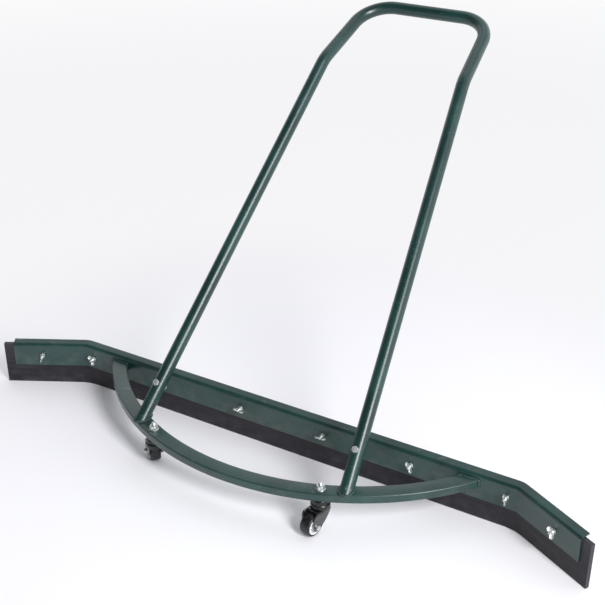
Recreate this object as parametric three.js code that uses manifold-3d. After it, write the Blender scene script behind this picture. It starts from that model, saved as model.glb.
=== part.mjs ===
// Court squeegee: a winged rubber blade in a pressed steel holder, with a curved bar across its front,
// two swivel casters under the bar and one bent tube as the handle.
// Millimetres, +Z up, +X along the blade. The squeegee is pushed towards -Y by someone who stands at +Y.
// The origin is the middle of the blade's lower edge, on the ground.

import * as THREE from 'three';
import { mergeVertices } from 'three/addons/utils/BufferGeometryUtils.js';
import Module from 'manifold-3d';

const wasm = await Module();
wasm.setup();

// Gaps: what rests on its neighbour, and what a bolt passes through
const seatGap = 0.3;
const boltClearance = 0.5;
const cutOverrun = 4;
const samePointWithin = 0.001;

// Rubber blade
const bladeThickness = 10;
const bladeOverhang = 24;
const lipBendRadius = 110;

// Blade holder: straight part between the bend lines, two wings bent forward, a fold along the top
const holderStraight = 1124;
const wingLength = 182;
const wingAngle = THREE.MathUtils.degToRad(28);
const holderBendRadius = 30;
const holderThickness = 3;
const holderFaceHeight = 62;
const holderFoldDepth = 22;
const holderFoldRadius = 5;

// Blade bolts, spread evenly between the bends and one on each wing, and the strips that clamp the rubber
const bladeBoltDiameter = 6;
const bladeBoltHeadWidth = 10;
const bladeBoltHeadHeight = 4;
const bladeBoltSpare = 5;
const bladeBoltBendMargin = 24.5;
const bladeBoltsOnStraight = 6;
const bladeBoltRise = 27;
const wingBoltMargin = 70;
const stripWidth = 25;
const stripThickness = 3;
const stripEndMargin = 22;

// Wing nuts: a tapered hub and two upright wings, each nut stopped at its own angle
const wingNutHubDiameter = 11;
const wingNutTopDiameter = 9.5;
const wingNutHubHeight = 7.5;
const wingNutSpan = 27;
const wingNutHeight = 14;
const wingNutWingThickness = 2.4;
const wingNutWasherDiameter = 12.5;
const wingNutWasherThickness = 1.6;
const wingNutAngles = [-78, -58, -35, -8, 3, -58, -77, -85].map(THREE.MathUtils.degToRad);

// Casters
const casterSpread = 420;
const wheelDiameter = 50;
const tyreWidth = 25;
const tyreDepth = 5.7;
const tyreShoulder = 3.5;
const hubWidth = 28;
const hubBossDiameter = 17;
const hubWebThickness = 7;
const hubRimDepth = 3.5;
const casterTrail = 27.5;
const wheelClearance = 4.5;
const wheelSideClearance = 0.8;
const forkWall = 2.5;
const forkFoldRadius = 4;
const forkTopDiameter = 38;
const forkRear = 13;
const forkShoulderDrop = 4;
const forkBrowRadius = 12;
const forkToeRadius = 10;
const swivelHeight = 21;
const raceDiameter = 33;
const raceThickness = 3;
const ballDiameter = 5;
const ballCount = 14;
const ballContact = 0.45;
const ballExposure = 0.6;
const cupDiameter = 42;
const cupShoulderDiameter = 38;
const cupRimThickness = 1.6;
const cupRimClearance = 1.2;
const stemDiameter = 10;
const stemSpare = 7;
const stemRivetDiameter = 16;
const stemRivetHeight = 2.4;
const stemNutWidth = 17;
const stemNutHeight = 8;
const stemWasherDiameter = 21;
const stemWasherThickness = 2;
const axleDiameter = 6;
const axleHeadWidth = 10;
const axleHeadHeight = 4;
const axleNutHeight = 5;
const axleSpare = 1.5;
const bushWall = 1;
const runningGap = 0.35;
const casterHeadings = { left: THREE.MathUtils.degToRad(137), right: THREE.MathUtils.degToRad(258) };

// Bow: a rectangular tube rolled to a circular arc, welded across the front of the holder
const bowReach = 247.6;
const bowEndInset = 85.1;
const bowWidth = 35;
const bowHeight = 20;
const bowWall = 3;
const bowCornerRadius = 3;
const bowBelowDrop = 27;

// Handle: one round tube with a knee in each leg, on stubs welded to the bow
const handleDiameter = 30;
const handleWall = 1;
const footOutset = 48;
const kneeSpread = 356;
const kneeRise = 658;
const kneeReach = 671.5;
const gripSpread = 318;
const gripRise = 89;
const gripReach = 195;
const kneeBendRadius = 90;
const gripBendRadius = 80;
const stubLength = 48;
const spigotWall = 2;
const spigotLength = 112;
const handleBoltPlace = 83;
const handleBoltDiameter = 8;
const handleBoltHeadWidth = 13;
const handleBoltHeadHeight = 5.3;
const handleNutHeight = 6.5;
const handleBoltSpare = 3;

// Weld beads, each sunk into the piece that carries it
const weldRadius = 2.2;
const weldStandoff = 1.2;

// How finely round things are faceted
const tubeSides = 16;
const wheelSides = 30;
const turnedSides = 20;
const smallSides = 12;
const ballSides = 6;
const ballRings = 3;
const weldSides = 6;
const hexagonSides = 6;
const cornerSteps = 1;
const bladeBendSteps = 5;
const bowSteps = 36;
const kneeSteps = 3;
const gripSteps = 8;

// Heights, from the ground up: the casters carry the bow, and the holder hangs from the bow's ends
const wheelRadius = wheelDiameter / 2;
const forkTop = wheelDiameter + wheelClearance + forkWall;
const bowBottom = forkTop + swivelHeight;
const bowTop = bowBottom + bowHeight;
const holderBottom = bowBottom - bowBelowDrop;
const holderTop = holderBottom + holderFaceHeight;
const bladeTop = holderTop - holderFoldRadius - seatGap;
const boltHeight = holderBottom + bladeBoltRise;

// Depths, from the middle of the rubber: the holder lies in front of it and the strips behind
const holderBack = -bladeThickness / 2 - seatGap;
const holderFace = holderBack - holderThickness;
const stripFront = bladeThickness / 2 + seatGap;
const stripBack = stripFront + stripThickness;

// Spread of the handle's feet, each of which stands outside a caster
const footSpread = casterSpread + 2 * footOutset;

// Pitch of the bolts on the straight part, whose outer ones stand beside the bends
const bladeBoltPitch = (holderStraight - 2 * bladeBoltBendMargin) / (bladeBoltsOnStraight - 1);

// Plan of the bow: its ends are cut to the holder's face, and end a set way inside the holder's bends
const bowEnd = holderFace - seatGap;
const bowEndReach = holderStraight / 2 - bowEndInset;
const bowDepth = bowReach - seatGap;
const bowRadius = (bowEndReach ** 2 + bowDepth ** 2) / (2 * bowDepth) - bowWidth / 2;
const bowCentre = holderFace - bowReach + bowRadius + bowWidth / 2;

const up = new THREE.Vector3(0, 0, 1);
const across = new THREE.Vector3(1, 0, 0);
const sides = { left: -1, right: 1 };

const finishes = {
  greenPaint: { color: 0x355c50, roughness: 0.4, metalness: 0.2 },
  zinc: { color: 0xc9cdca, roughness: 0.35, metalness: 0.9 },
  blackRubber: { color: 0x2c2b2f, roughness: 0.8, metalness: 0 },
  blackSteel: { color: 0x26262a, roughness: 0.5, metalness: 0.3 },
  tread: { color: 0x222225, roughness: 0.7, metalness: 0 },
  whiteNylon: { color: 0xe9e9e6, roughness: 0.5, metalness: 0 },
  bareSteel: { color: 0x8d9092, roughness: 0.4, metalness: 0.9 },
};

const squeegee = new THREE.Group();

// Adds one named piece in its own material
function piece(name, geometry, finish) {
  geometry.computeVertexNormals();
  const mesh = new THREE.Mesh(geometry, new THREE.MeshStandardMaterial(finish));
  mesh.name = name;
  squeegee.add(mesh);
}

// Position-only copy with shared corners, which booleans and merges need
function bare(geometry) {
  const copy = geometry.clone();
  copy.deleteAttribute('normal');
  copy.deleteAttribute('uv');
  return mergeVertices(copy);
}

function toSolid(geometry) {
  const closed = bare(geometry);
  return new wasm.Manifold(new wasm.Mesh({
    numProp: 3,
    vertProperties: new Float32Array(closed.attributes.position.array),
    triVerts: new Uint32Array(closed.index.array),
  }));
}

function toGeometry(solid) {
  const mesh = solid.getMesh();
  const geometry = new THREE.BufferGeometry();
  geometry.setAttribute('position', new THREE.BufferAttribute(new Float32Array(mesh.vertProperties), 3));
  geometry.setIndex(new THREE.BufferAttribute(new Uint32Array(mesh.triVerts), 1));
  return geometry;
}

function cut(geometry, tools) {
  return toGeometry(tools.reduce((left, tool) => left.subtract(toSolid(tool)), toSolid(geometry)));
}

function join(parts) {
  return toGeometry(parts.map(toSolid).reduce((joined, next) => joined.add(next)));
}

function signedVolume(points, triangles) {
  let volume = 0;
  for (const [a, b, c] of triangles) {
    volume += points[a].dot(new THREE.Vector3().crossVectors(points[b], points[c])) / 6;
  }
  return volume;
}

// A section carried through stations: place(station, point) gives each section point its place
function loft(section, stationCount, place, closed = false) {
  const drawn = section.extractPoints(cornerSteps);
  const loops = [drawn.shape, ...drawn.holes].map((loop, index) => {
    const open = loop[0].distanceTo(loop.at(-1)) < samePointWithin ? loop.slice(0, -1) : loop;
    const wantsReverse = (THREE.ShapeUtils.area(open) > 0) !== (index === 0);
    return wantsReverse ? open.slice().reverse() : open;
  });
  const flat = loops.flat();
  const points = [];
  for (let station = 0; station < stationCount; station += 1) {
    points.push(...flat.map((point) => place(station, point)));
  }
  const triangles = [];
  const spans = closed ? stationCount : stationCount - 1;
  for (let station = 0; station < spans; station += 1) {
    const near = station * flat.length;
    const far = ((station + 1) % stationCount) * flat.length;
    let first = 0;
    for (const loop of loops) {
      loop.forEach((_, index) => {
        const here = first + index;
        const next = first + ((index + 1) % loop.length);
        triangles.push([near + here, near + next, far + next], [near + here, far + next, far + here]);
      });
      first += loop.length;
    }
  }
  if (!closed) {
    const last = (stationCount - 1) * flat.length;
    for (const [a, b, c] of THREE.ShapeUtils.triangulateShape(loops[0], loops.slice(1))) {
      const facesOn = THREE.ShapeUtils.area([flat[a], flat[b], flat[c]]) > 0;
      const [p, q, r] = facesOn ? [a, b, c] : [a, c, b];
      triangles.push([last + p, last + q, last + r], [r, q, p]);
    }
  }
  const outward = signedVolume(points, triangles) > 0;
  const geometry = new THREE.BufferGeometry().setFromPoints(points);
  geometry.setIndex(triangles.flatMap(([a, b, c]) => (outward ? [a, b, c] : [a, c, b])));
  return geometry;
}

// Stations along straight runs with round bends between them
function bentRun(corners, radii, steps) {
  const directions = corners.slice(1).map((corner, index) => corner.clone().sub(corners[index]).normalize());
  const stations = [{ point: corners[0].clone(), heading: directions[0].clone() }];
  for (let turn = 1; turn < corners.length - 1; turn += 1) {
    const before = directions[turn - 1];
    const after = directions[turn];
    const angle = before.angleTo(after);
    const axis = new THREE.Vector3().crossVectors(before, after).normalize();
    const radius = radii[turn - 1];
    const start = corners[turn].clone().addScaledVector(before, -radius * Math.tan(angle / 2));
    const inward = new THREE.Vector3().crossVectors(axis, before);
    const centre = start.clone().addScaledVector(inward, radius);
    for (let step = 0; step <= steps[turn - 1]; step += 1) {
      const turned = (angle * step) / steps[turn - 1];
      const arm = inward.clone().multiplyScalar(-radius).applyAxisAngle(axis, turned);
      stations.push({ point: centre.clone().add(arm), heading: before.clone().applyAxisAngle(axis, turned) });
    }
  }
  stations.push({ point: corners.at(-1).clone(), heading: directions.at(-1).clone() });
  return stations;
}

// Cross axes that turn with the run and never twist about it
function carriedFrames(stations, firstAcross) {
  const right = firstAcross.clone().addScaledVector(
    stations[0].heading, -firstAcross.dot(stations[0].heading)).normalize();
  let heading = stations[0].heading;
  return stations.map((station) => {
    const turn = new THREE.Quaternion().setFromUnitVectors(heading, station.heading);
    right.applyQuaternion(turn).normalize();
    heading = station.heading;
    return { ...station, right: right.clone(), over: new THREE.Vector3().crossVectors(heading, right) };
  });
}

function circle(radius, sideCount, hole = 0, holeSides = sideCount) {
  const ring = (r, count) => Array.from({ length: count }, (_, index) => {
    const angle = (2 * Math.PI * index) / count;
    return new THREE.Vector2(r * Math.cos(angle), r * Math.sin(angle));
  });
  const section = new THREE.Shape(ring(radius, sideCount));
  if (hole > 0) section.holes.push(new THREE.Path(ring(hole, holeSides)));
  return section;
}

function roundedRectangle(left, bottom, width, height, radius) {
  const outline = new THREE.Shape();
  outline.absarc(left + width - radius, bottom + radius, radius, -Math.PI / 2, 0);
  outline.absarc(left + width - radius, bottom + height - radius, radius, 0, Math.PI / 2);
  outline.absarc(left + radius, bottom + height - radius, radius, Math.PI / 2, Math.PI);
  outline.absarc(left + radius, bottom + radius, radius, Math.PI, 1.5 * Math.PI);
  return outline;
}

// Straight tube or rod from start along heading
function rod(start, heading, length, section) {
  const ends = [0, length].map((along) => ({ point: start.clone().addScaledVector(heading, along), heading }));
  const frames = carriedFrames(ends, Math.abs(heading.x) > 0.9 ? up : across);
  return loft(section, frames.length, (station, point) => frames[station].point.clone()
    .addScaledVector(frames[station].right, point.x).addScaledVector(frames[station].over, point.y));
}

// Turned piece about the vertical axis through the origin, from [radius, height] pairs that close on themselves
function turned(profile, sideCount) {
  const closedProfile = [...profile, profile[0]].map(([radius, height]) => new THREE.Vector2(radius, height));
  const geometry = bare(new THREE.LatheGeometry(closedProfile, sideCount));
  const index = geometry.index.array;
  const corners = geometry.attributes.position;
  const points = Array.from({ length: corners.count }, (_, i) => new THREE.Vector3().fromBufferAttribute(corners, i));
  const triangles = [];
  for (let i = 0; i < index.length; i += 3) {
    const triangle = [index[i], index[i + 1], index[i + 2]];
    if (new Set(triangle).size === 3) triangles.push(triangle);
  }
  const outward = signedVolume(points, triangles) > 0;
  geometry.setIndex(triangles.flatMap(([a, b, c]) => (outward ? [a, b, c] : [a, c, b])));
  geometry.rotateX(Math.PI / 2);
  return geometry;
}

function washer(diameter, bore, thickness) {
  return turned([[bore / 2, 0], [diameter / 2, 0], [diameter / 2, thickness], [bore / 2, thickness]], smallSides);
}

// Hexagon of a given width across its flats, standing on z = 0
function hexagon(width, height, bore = 0) {
  return rod(new THREE.Vector3(), up, height, circle(width / Math.sqrt(3), hexagonSides, bore / 2, smallSides));
}

// Hexagon bolt whose head stands on z = 0 and whose shank goes down
function hexBolt(diameter, headWidth, headHeight, shankLength) {
  const shank = rod(new THREE.Vector3(0, 0, -shankLength), up, shankLength + headHeight / 2,
    circle(diameter / 2, smallSides));
  return join([hexagon(headWidth, headHeight), shank]);
}

// Puts a piece made along +Z at a place, with its +Z along a direction
function stand(geometry, place, direction, turn = 0) {
  const copy = geometry.clone();
  copy.rotateZ(turn);
  copy.applyQuaternion(new THREE.Quaternion().setFromUnitVectors(up, direction));
  copy.translate(place.x, place.y, place.z);
  return copy;
}

// The line of the blade on the ground, with bends of a given radius
function bladeLine(overhang, bendRadius) {
  const wingEnd = wingLength + overhang;
  const corner = new THREE.Vector3(holderStraight / 2, 0, 0);
  const end = corner.clone().add(new THREE.Vector3(Math.cos(wingAngle), -Math.sin(wingAngle), 0)
    .multiplyScalar(wingEnd));
  const mirrored = (point) => new THREE.Vector3(-point.x, point.y, point.z);
  return bentRun([mirrored(end), mirrored(corner), corner, end], [bendRadius, bendRadius],
    [bladeBendSteps, bladeBendSteps]);
}

// Section point (depth behind the rubber's middle, height) at a station of a blade line
function onBlade(station, depth, height) {
  return new THREE.Vector3(
    station.point.x - station.heading.y * depth, station.point.y + station.heading.x * depth, height);
}

// Place and heading on one wing, at a distance from its bend
function onWing(side, reach) {
  const heading = new THREE.Vector3(Math.cos(wingAngle), -side * Math.sin(wingAngle), 0);
  const bend = new THREE.Vector3(side * holderStraight / 2, 0, 0);
  return { point: bend.addScaledVector(heading, side * reach), heading };
}

// Where the blade's bolts stand, from one end to the other: one on each wing, the rest on the straight part
function boltStations() {
  const stations = [onWing(sides.left, wingLength - wingBoltMargin)];
  for (let index = 0; index < bladeBoltsOnStraight; index += 1) {
    const x = (index - (bladeBoltsOnStraight - 1) / 2) * bladeBoltPitch;
    stations.push({ point: new THREE.Vector3(x, 0, 0), heading: across.clone() });
  }
  return [...stations, onWing(sides.right, wingLength - wingBoltMargin)];
}

const boltPlaces = boltStations();

function boltHoles(front, back) {
  return boltPlaces.map((station) => {
    const towardsBack = onBlade(station, 1, 0).sub(station.point);
    return rod(onBlade(station, front - cutOverrun, boltHeight), towardsBack, back - front + 2 * cutOverrun,
      circle(bladeBoltDiameter / 2 + boltClearance, smallSides));
  });
}

// Pressed holder: a plate with a fold to the back along its top edge
function makeHolder() {
  const section = new THREE.Shape();
  const inner = holderFoldRadius - holderThickness;
  section.moveTo(holderFace, holderBottom);
  section.lineTo(holderFace, holderTop - holderFoldRadius);
  section.absarc(holderFace + holderFoldRadius, holderTop - holderFoldRadius, holderFoldRadius,
    Math.PI, Math.PI / 2, true);
  section.lineTo(holderFace + holderFoldDepth, holderTop);
  section.lineTo(holderFace + holderFoldDepth, holderTop - holderThickness);
  section.absarc(holderFace + holderFoldRadius, holderTop - holderFoldRadius, inner, Math.PI / 2, Math.PI);
  section.lineTo(holderBack, holderBottom);
  const line = bladeLine(0, holderBendRadius);
  const plate = loft(section, line.length, (station, point) => onBlade(line[station], point.x, point.y));
  piece('blade_holder', cut(plate, boltHoles(holderFace, holderBack)), finishes.greenPaint);
}

// Rubber: bent sharply where it is clamped, and easing to a wider bend at its free lip
function makeBlade() {
  const section = new THREE.Shape();
  const half = bladeThickness / 2;
  section.moveTo(-half, 0);
  section.lineTo(half, 0);
  section.lineTo(half, holderBottom / 2);
  section.lineTo(half, holderBottom);
  section.lineTo(half, bladeTop);
  section.lineTo(-half, bladeTop);
  section.lineTo(-half, holderBottom);
  section.lineTo(-half, holderBottom / 2);
  const clamped = bladeLine(bladeOverhang, holderBendRadius);
  const lip = bladeLine(bladeOverhang, lipBendRadius);
  const strip = loft(section, clamped.length, (station, point) => {
    const held = onBlade(clamped[station], point.x, point.y);
    const free = onBlade(lip[station], point.x, point.y);
    return free.lerp(held, Math.min(point.y / holderBottom, 1));
  });
  piece('rubber_blade', cut(strip, boltHoles(-half, half)), finishes.blackRubber);
}

// Flat strips behind the rubber, one for the straight part and one for each wing
function makeStrips() {
  const section = new THREE.Shape([
    new THREE.Vector2(stripFront, boltHeight - stripWidth / 2),
    new THREE.Vector2(stripBack, boltHeight - stripWidth / 2),
    new THREE.Vector2(stripBack, boltHeight + stripWidth / 2),
    new THREE.Vector2(stripFront, boltHeight + stripWidth / 2),
  ]);
  const holes = boltHoles(stripFront, stripBack);
  const strip = (ends) => cut(
    loft(section, ends.length, (station, point) => onBlade(ends[station], point.x, point.y)), holes);
  const straightEnds = Object.values(sides).map((side) => ({
    point: new THREE.Vector3(side * (holderStraight / 2 - stripEndMargin), 0, 0), heading: across }));
  piece('clamp_strip_main', strip(straightEnds), finishes.zinc);
  for (const [name, side] of Object.entries(sides)) {
    const ends = [onWing(side, stripEndMargin), onWing(side, wingLength - stripEndMargin)];
    piece(`clamp_strip_${name}`, strip(ends), finishes.zinc);
  }
}

// Wing nut on its washer, which is one piece with it
function makeWingNut() {
  const bore = bladeBoltDiameter / 2 + seatGap;
  const washerRadius = wingNutWasherDiameter / 2;
  const hub = turned([
    [bore, -wingNutWasherThickness], [washerRadius, -wingNutWasherThickness], [washerRadius, 0],
    [wingNutHubDiameter / 2, 0], [wingNutTopDiameter / 2, wingNutHubHeight], [bore, wingNutHubHeight],
  ], smallSides);
  const wingFoot = wingNutTopDiameter / 2 - wingNutWingThickness / 2;
  const wingRadius = (wingNutSpan / 2 - wingFoot) / 2;
  const outline = new THREE.Shape();
  outline.moveTo(wingFoot, wingNutHubHeight / 6);
  outline.lineTo(wingNutSpan / 2 - wingRadius, wingNutHubHeight / 3);
  outline.absarc(wingNutSpan / 2 - wingRadius, wingNutHeight - wingRadius, wingRadius, -Math.PI / 3, Math.PI);
  outline.lineTo(wingFoot, wingNutHubHeight);
  const wing = new THREE.ExtrudeGeometry(outline,
    { depth: wingNutWingThickness, bevelEnabled: false, curveSegments: 2 });
  wing.translate(0, 0, -wingNutWingThickness / 2);
  wing.rotateX(Math.PI / 2);
  const other = wing.clone().rotateZ(Math.PI);
  const passage = rod(new THREE.Vector3(0, 0, -cutOverrun), up, wingNutHeight + 2 * cutOverrun,
    circle(bore, smallSides));
  return cut(join([hub, wing, other]), [passage]);
}

// Bolts go in from behind, and wing nuts are on the face
function makeBladeFasteners() {
  const nutSeat = holderFace - seatGap - wingNutWasherThickness;
  const headSeat = stripBack + seatGap;
  const bolt = hexBolt(bladeBoltDiameter, bladeBoltHeadWidth, bladeBoltHeadHeight,
    headSeat - nutSeat + wingNutHubHeight + bladeBoltSpare);
  const nut = makeWingNut();
  boltPlaces.forEach((station, index) => {
    const backwards = onBlade(station, 1, 0).sub(station.point);
    const forwards = backwards.clone().negate();
    const number = index + 1;
    piece(`blade_bolt_${number}`, stand(bolt, onBlade(station, headSeat, boltHeight), backwards), finishes.zinc);
    piece(`wing_nut_${number}`, stand(nut, onBlade(station, nutSeat, boltHeight), forwards, wingNutAngles[index]),
      finishes.zinc);
  });
}

// A point of the bow: distance from the middle of its tube, height, and share of the way round its arc
function onBow(outwards, height, share) {
  const radius = bowRadius + outwards;
  const first = Math.asin((bowCentre - bowEnd) / radius);
  const angle = first + (Math.PI - 2 * first) * share;
  return new THREE.Vector3(radius * Math.cos(angle), bowCentre - radius * Math.sin(angle), height);
}

// The middle of the bow's tube at a given x
function bowMiddle(x, height) {
  return new THREE.Vector3(x, bowCentre - Math.sqrt(bowRadius ** 2 - x ** 2), height);
}

const casterPlaces = Object.fromEntries(
  Object.entries(sides).map(([name, side]) => [name, bowMiddle(side * casterSpread / 2, 0)]));

function makeBow() {
  const section = roundedRectangle(-bowWidth / 2, 0, bowWidth, bowHeight, bowCornerRadius);
  section.holes.push(new THREE.Path([
    new THREE.Vector2(-bowWidth / 2 + bowWall, bowWall),
    new THREE.Vector2(bowWidth / 2 - bowWall, bowWall),
    new THREE.Vector2(bowWidth / 2 - bowWall, bowHeight - bowWall),
    new THREE.Vector2(-bowWidth / 2 + bowWall, bowHeight - bowWall),
  ]));
  const bar = loft(section, bowSteps + 1,
    (station, point) => onBow(point.x, bowBottom + point.y, station / bowSteps));
  const stemHoles = Object.values(casterPlaces).map((place) => rod(
    new THREE.Vector3(place.x, place.y, bowBottom - cutOverrun), up, bowHeight + 2 * cutOverrun,
    circle(stemDiameter / 2 + boltClearance, turnedSides)));
  piece('bow_bar', join([cut(bar, stemHoles), ...bowWelds()]), finishes.greenPaint);
}

// Short beads above and below each end of the bow, where it meets the holder
function bowWelds() {
  const bead = circle(weldRadius, weldSides);
  const beads = [];
  for (const share of [0, 1]) {
    for (const height of [bowTop + weldStandoff, bowBottom - weldStandoff]) {
      const ends = [-1, 1].map((half) => onBow(half * (bowWidth / 2 - weldRadius), height, share).x);
      const start = new THREE.Vector3(Math.min(...ends), bowEnd - weldRadius, height);
      beads.push(rod(start, across, Math.abs(ends[1] - ends[0]), bead));
    }
  }
  return beads;
}

// The line of one handle leg: foot on the bow, knee, and the sharp corner that the grip's bend rounds off
function handleLeg(side) {
  const foot = bowMiddle(side * footSpread / 2, bowTop);
  const knee = new THREE.Vector3(side * kneeSpread / 2, foot.y + kneeReach, foot.z + kneeRise);
  const grip = new THREE.Vector3(side * gripSpread / 2, knee.y + gripReach, knee.z + gripRise);
  const heading = knee.clone().sub(foot).normalize();
  const front = new THREE.Vector3().crossVectors(across, heading).normalize();
  if (front.z < 0) front.negate();
  return { foot, knee, grip, heading, front };
}

const legs = Object.fromEntries(Object.entries(sides).map(([name, side]) => [name, handleLeg(side)]));

function legPoint(leg, along) {
  return leg.foot.clone().addScaledVector(leg.heading, along);
}

// Cross holes through a leg for its bolt
function crossHole(leg) {
  const reach = handleDiameter / 2 + cutOverrun;
  return rod(legPoint(leg, handleBoltPlace).addScaledVector(leg.front, -reach), leg.front, 2 * reach,
    circle(handleBoltDiameter / 2 + boltClearance, smallSides));
}

// Point on a tube about the leg's line, slid along it down to a level height
function slidToHeight(leg, right, over, point, height) {
  const offset = right.clone().multiplyScalar(point.x).addScaledVector(over, point.y);
  const along = (height - leg.foot.z - offset.z) / leg.heading.z;
  return legPoint(leg, along).add(offset);
}

// Bead round the slanting foot of a stub
function footWeld(leg, over) {
  const height = bowTop + seatGap + weldRadius;
  const middle = slidToHeight(leg, leg.front, over, new THREE.Vector2(), height);
  return loft(circle(weldRadius, weldSides), tubeSides, (station, point) => {
    const angle = (2 * Math.PI * station) / tubeSides;
    const reach = handleDiameter / 2 + weldStandoff;
    const bead = slidToHeight(leg, leg.front, over,
      new THREE.Vector2(reach * Math.cos(angle), reach * Math.sin(angle)), height);
    const outwards = bead.clone().sub(middle).normalize();
    return bead.addScaledVector(outwards, point.x).addScaledVector(up, point.y);
  }, true);
}

// Stubs are cut slantwise to sit flat on the bow, and square at the top where the handle meets them
function makeStubs() {
  for (const [name, leg] of Object.entries(legs)) {
    const over = new THREE.Vector3().crossVectors(leg.heading, leg.front);
    const section = circle(handleDiameter / 2, tubeSides, handleDiameter / 2 - handleWall);
    const stub = loft(section, 2, (station, point) => (station === 0
      ? slidToHeight(leg, leg.front, over, point, bowTop + seatGap)
      : legPoint(leg, stubLength).addScaledVector(leg.front, point.x).addScaledVector(over, point.y)));
    piece(`handle_stub_${name}`, join([stub, footWeld(leg, over)]), finishes.greenPaint);

    const spigotRadius = handleDiameter / 2 - handleWall - seatGap;
    const spigotStart = (handleDiameter / 2) * (leg.front.z / leg.heading.z) + 2 * seatGap;
    const spigot = rod(legPoint(leg, spigotStart), leg.heading, spigotLength,
      circle(spigotRadius, tubeSides, spigotRadius - spigotWall));
    piece(`handle_spigot_${name}`, cut(spigot, [crossHole(leg)]), finishes.bareSteel);
  }
}

function makeHandle() {
  const { left, right } = legs;
  const run = bentRun(
    [legPoint(left, stubLength + seatGap), left.knee, left.grip, right.grip, right.knee,
      legPoint(right, stubLength + seatGap)],
    [kneeBendRadius, gripBendRadius, gripBendRadius, kneeBendRadius],
    [kneeSteps, gripSteps, gripSteps, kneeSteps]);
  const frames = carriedFrames(run, left.front);
  const section = circle(handleDiameter / 2, tubeSides, handleDiameter / 2 - handleWall);
  const tube = loft(section, frames.length, (station, point) => frames[station].point.clone()
    .addScaledVector(frames[station].right, point.x).addScaledVector(frames[station].over, point.y));
  piece('handle_tube', cut(tube, [crossHole(left), crossHole(right)]), finishes.greenPaint);
}

function makeHandleFasteners() {
  const seat = handleDiameter / 2 + seatGap;
  const bolt = hexBolt(handleBoltDiameter, handleBoltHeadWidth, handleBoltHeadHeight,
    2 * seat + handleNutHeight + handleBoltSpare);
  const nut = hexagon(handleBoltHeadWidth, handleNutHeight, handleBoltDiameter + 2 * seatGap);
  for (const [name, leg] of Object.entries(legs)) {
    const middle = legPoint(leg, handleBoltPlace);
    const headPlace = middle.clone().addScaledVector(leg.front, seat);
    const nutPlace = middle.clone().addScaledVector(leg.front, -seat);
    piece(`handle_bolt_${name}`, stand(bolt, headPlace, leg.front), finishes.zinc);
    piece(`handle_nut_${name}`, stand(nut, nutPlace, leg.front.clone().negate()), finishes.zinc);
  }
}

// The swivel head's ring of balls, which touch one another, and the heights above and below it
const ballRadius = ballDiameter / 2;
const ballPitchRadius = (ballDiameter - ballContact) / (2 * Math.sin(Math.PI / ballCount));
const raceBottom = forkTop + seatGap;
const raceTop = raceBottom + raceThickness;
const ballCentre = raceTop + ballExposure;
const cupUnderside = ballCentre + ballExposure;
const cupTop = bowBottom - seatGap;

// Groove for the balls, as an arc from its inner to its outer edge
function groove(surface, steps = 3) {
  const radius = ballRadius + runningGap;
  const below = surface < ballCentre ? -1 : 1;
  const edge = Math.acos(ballExposure / radius);
  return Array.from({ length: steps + 1 }, (_, step) => {
    const angle = -edge + (2 * edge * step) / steps;
    return [ballPitchRadius + radius * Math.sin(angle), ballCentre + below * radius * Math.cos(angle)];
  });
}

function makeSwivelHead(name, place) {
  const at = (geometry) => geometry.translate(place.x, place.y, 0);
  const stemRadius = stemDiameter / 2;
  const boreRadius = stemRadius + boltClearance;

  const stemTop = bowTop + seatGap + stemWasherThickness + seatGap + stemNutHeight + stemSpare;
  const rivetTop = forkTop - forkWall - seatGap;
  const chamfer = stemRadius / 5;
  piece(`caster_stem_${name}`, at(turned([
    [0, rivetTop - stemRivetHeight], [stemRivetDiameter / 2 - chamfer, rivetTop - stemRivetHeight],
    [stemRivetDiameter / 2, rivetTop - stemRivetHeight + chamfer], [stemRivetDiameter / 2, rivetTop],
    [stemRadius, rivetTop], [stemRadius, stemTop - chamfer], [stemRadius - chamfer, stemTop], [0, stemTop],
  ], turnedSides)), finishes.zinc);

  const nut = hexagon(stemNutWidth, stemNutHeight, stemDiameter + 2 * seatGap);
  nut.translate(0, 0, bowTop + 2 * seatGap + stemWasherThickness);
  piece(`caster_nut_${name}`, at(nut), finishes.zinc);
  const ring = washer(stemWasherDiameter, stemDiameter + 2 * seatGap, stemWasherThickness);
  ring.translate(0, 0, bowTop + seatGap);
  piece(`caster_washer_${name}`, at(ring), finishes.zinc);

  const cupRadius = cupDiameter / 2;
  const rimBottom = forkTop + cupRimClearance;
  const rimInner = cupRadius - cupRimThickness;
  piece(`caster_cup_${name}`, at(turned([
    [boreRadius, cupUnderside], ...groove(cupUnderside), [rimInner, cupUnderside], [rimInner, rimBottom],
    [cupRadius, rimBottom], [cupRadius, cupUnderside + cupRimThickness],
    [cupShoulderDiameter / 2, cupTop], [boreRadius, cupTop],
  ], turnedSides)), finishes.blackSteel);

  const balls = Array.from({ length: ballCount }, (_, index) => at(
    new THREE.SphereGeometry(ballRadius, ballSides, ballRings).translate(ballPitchRadius, 0, ballCentre)
      .rotateZ((2 * Math.PI * index) / ballCount)));
  piece(`caster_balls_${name}`, join(balls), finishes.bareSteel);

  piece(`caster_race_${name}`, at(turned([
    [boreRadius, raceBottom], [raceDiameter / 2, raceBottom], [raceDiameter / 2, raceTop],
    ...groove(raceTop).reverse(), [boreRadius, raceTop],
  ], turnedSides)), finishes.blackSteel);
}

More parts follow.
